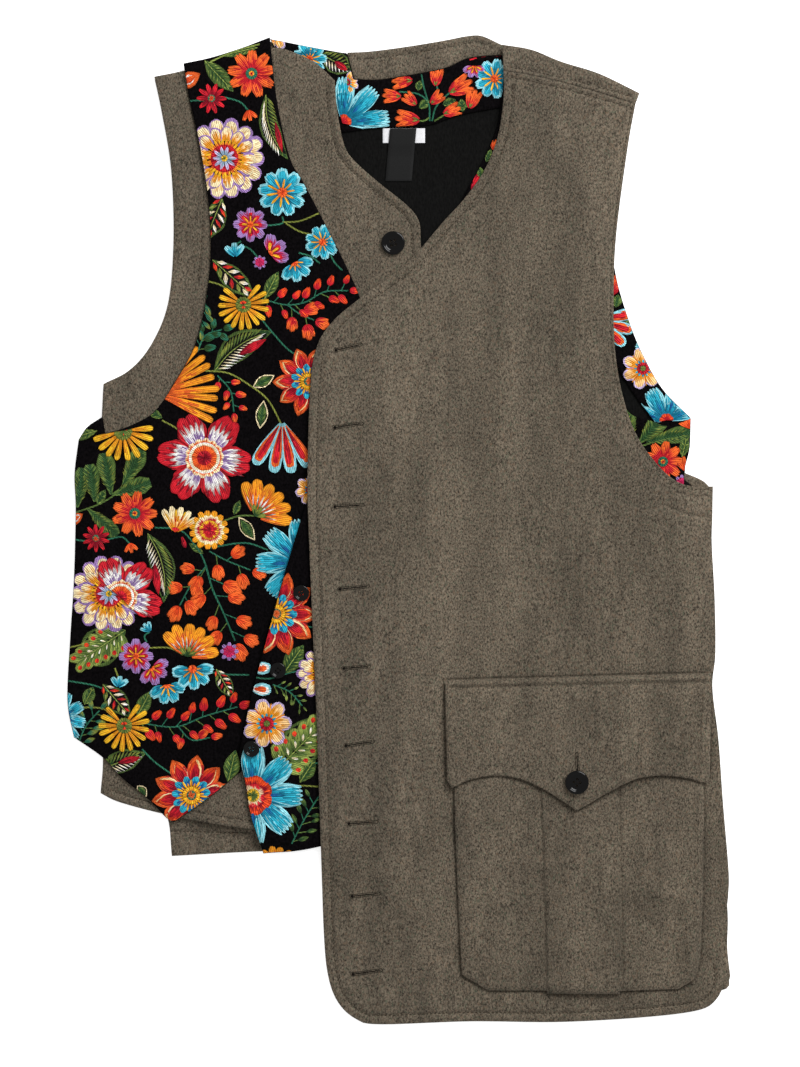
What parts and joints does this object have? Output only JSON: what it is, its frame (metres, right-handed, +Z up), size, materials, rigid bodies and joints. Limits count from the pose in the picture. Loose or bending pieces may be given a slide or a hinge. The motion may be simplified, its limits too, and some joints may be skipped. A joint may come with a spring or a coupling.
{
  "type": "embroidered waistcoat",
  "caption": "Long grey-brown wool waistcoat with a pleated pocket, laid flat, over a short waistcoat of black flower-embroidered cloth.",
  "frame": {"origin": "the middle of the bounding box's underside, on the surface that the garment lies on", "axes": "+Y towards the neck, +X to the right as seen from above with the garment's front up, +Z up"},
  "size_m": [0.563, 0.8402, 0.0165],
  "materials": {
    "wool": "grey-brown melange wool flannel",
    "embroidery": "black cloth embroidered with many-coloured flowers",
    "lining": "smooth black lining twill",
    "label": "plain black woven label",
    "tab": "plain white woven tab",
    "button": "polished black"
  },
  "bodies": {
    "root": {"back_wool": "wool", "back_lining": "lining", "back_neck_band": "wool", "back_neck_facing": "embroidery", "back_armhole_facing": "embroidery", "label": "label", "size_tab": "tab", "wool_right_front": "wool", "embroidered_right_front": "embroidery", "embroidered_left_front": "embroidery", "wool_left_front": "wool", "wool_left_yoke": "wool", "pocket_body": "wool", "pocket_flap": "wool", "neck_button": "button", "pocket_button": "button", "waistcoat_button_1": "button", "waistcoat_button_2": "button", "waistcoat_button_3": "button"}
  },
  "joints": []
}
